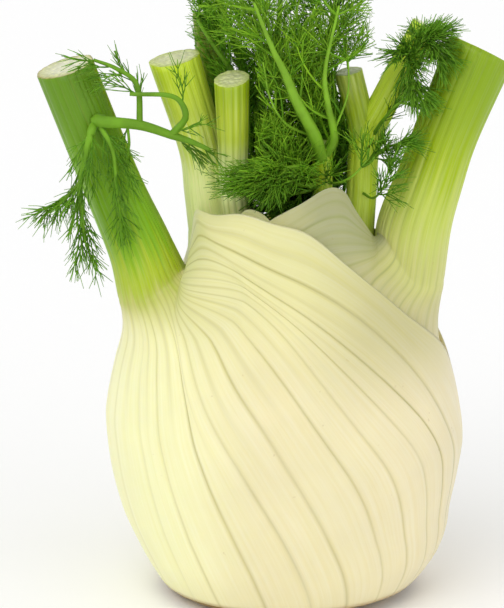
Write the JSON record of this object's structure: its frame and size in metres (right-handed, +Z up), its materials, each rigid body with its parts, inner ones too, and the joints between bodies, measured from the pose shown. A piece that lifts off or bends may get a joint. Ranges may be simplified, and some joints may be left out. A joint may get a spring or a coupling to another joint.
{
  "type": "fennel bulb",
  "caption": "Florence fennel bulb standing on its trimmed root end, with ribbed clasping leaves, cut stalks and feathery green fronds.",
  "frame": {"origin": "centre of the root end's flat cut face, which the bulb stands on", "axes": "+Z up through the bulb towards the fronds, -Y the front, -X the side of the outermost leaf's stalk"},
  "size_m": [0.1341, 0.0836, 0.1747],
  "materials": {
    "root": "matt, cut and dried",
    "sheath": "smooth and waxy",
    "stalk": "smooth and waxy",
    "frond": "matt leaf"
  },
  "bodies": {
    "root": {"root_plate": "root", "leaf_left": "sheath", "leaf_right": "sheath", "leaf_mid_left": "stalk", "leaf_fork": "stalk", "leaf_stub": "stalk", "leaf_back": "stalk", "leaf_young": "frond", "leaf_inner": "frond"}
  },
  "joints": []
}
